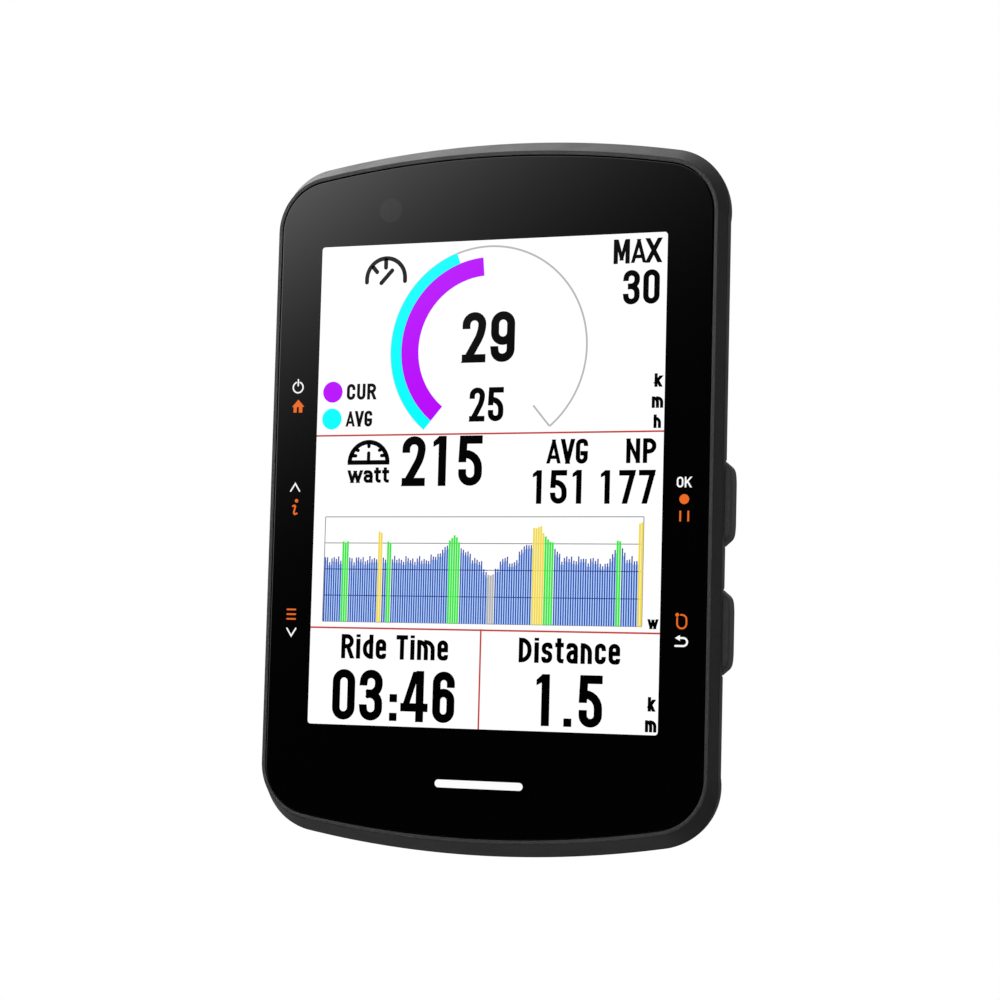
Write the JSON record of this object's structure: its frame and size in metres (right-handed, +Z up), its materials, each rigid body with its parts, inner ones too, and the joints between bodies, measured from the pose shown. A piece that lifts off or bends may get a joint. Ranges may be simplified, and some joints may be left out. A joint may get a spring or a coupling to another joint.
{
  "type": "cycling computer",
  "caption": "Slim handlebar cycling computer with a large portrait touch display, side buttons, a charging port flap and a quarter-turn mount on its back.",
  "frame": {"origin": "centre of the quarter-turn mount's rear face", "axes": "+Z up the display, -Y the way the display faces, +Y out of the mount's rear face, +X to the right of someone who reads the display"},
  "size_m": [0.0688, 0.0162, 0.1014],
  "materials": {
    "housing_plastic": "fine matte black texture",
    "rubber": "matte black",
    "cover_glass": "glossy, black printed border",
    "foam_and_tape": "soft matte",
    "display": "lit white screen",
    "sheet_steel": "satin stamped",
    "flex_circuit": "amber film",
    "circuit_board": "green solder mask",
    "chip": "matte moulded",
    "ceramic": "fired ceramic",
    "battery_foil": "laminated foil",
    "brass": "turned",
    "black_steel": "black oxide"
  },
  "bodies": {
    "housing": {"front_frame": "housing_plastic", "rear_cover": "housing_plastic", "cover_glass": "cover_glass", "mount_plate": "housing_plastic", "housing_seal": "rubber", "glass_adhesive": "foam_and_tape", "touch_sensor": "display", "lcd_panel": "display", "light_guide": "display", "display_chassis": "sheet_steel", "display_flex": "flex_circuit", "light_sensor": "chip", "sensor_flex": "flex_circuit", "main_board": "circuit_board", "processor_shield": "sheet_steel", "processor": "chip", "memory_chip": "chip", "radio_shield": "sheet_steel", "radio_chip": "chip", "gnss_antenna": "ceramic", "barometer": "chip", "vent_membrane": "foam_and_tape", "buzzer": "chip", "battery_connector": "ceramic", "usb_connector": "sheet_steel", "battery": "battery_foil", "battery_foam": "foam_and_tape", "battery_lead": "flex_circuit", "button_seal_left": "rubber", "button_seal_right": "rubber", "case_screw_1": "black_steel", "case_screw_2": "black_steel", "case_screw_3": "black_steel", "case_screw_4": "black_steel", "threaded_insert_1": "brass", "threaded_insert_2": "brass", "threaded_insert_3": "brass", "threaded_insert_4": "brass", "mount_screw_1": "black_steel", "mount_screw_2": "black_steel", "mount_screw_3": "black_steel", "mount_screw_4": "black_steel", "ok_switch": "chip", "back_switch": "chip", "power_switch": "chip", "up_switch": "chip", "menu_switch": "chip"},
    "port_flap": {"port_cover": "rubber"},
    "ok_key": {"ok_button": "rubber", "ok_stem": "brass"},
    "back_key": {"back_button": "rubber", "back_stem": "brass"},
    "power_key": {"power_button": "rubber", "power_stem": "brass"},
    "up_key": {"up_button": "rubber", "up_stem": "brass"},
    "menu_key": {"menu_button": "rubber", "menu_stem": "brass"}
  },
  "joints": [
    {"name": "port_flap_hinge", "type": "hinge", "parent": "housing", "child": "port_flap", "pos_m": [0, -0.0069, -0.0493], "axis": [1, 0, 0], "range_deg": [0, 105]},
    {"name": "ok_press", "type": "slide", "parent": "housing", "child": "ok_key", "axis": [-1, 0, 0], "range_m": [0, 0.0005], "stiffness_N_per_m": 1500, "springref_m": -0.0005},
    {"name": "back_press", "type": "slide", "parent": "housing", "child": "back_key", "axis": [-1, 0, 0], "range_m": [0, 0.0005], "stiffness_N_per_m": 1500, "springref_m": -0.0005},
    {"name": "power_press", "type": "slide", "parent": "housing", "child": "power_key", "axis": [1, 0, 0], "range_m": [0, 0.0005], "stiffness_N_per_m": 1500, "springref_m": -0.0005},
    {"name": "up_press", "type": "slide", "parent": "housing", "child": "up_key", "axis": [1, 0, 0], "range_m": [0, 0.0005], "stiffness_N_per_m": 1500, "springref_m": -0.0005},
    {"name": "menu_press", "type": "slide", "parent": "housing", "child": "menu_key", "axis": [1, 0, 0], "range_m": [0, 0.0005], "stiffness_N_per_m": 1500, "springref_m": -0.0005}
  ]
}
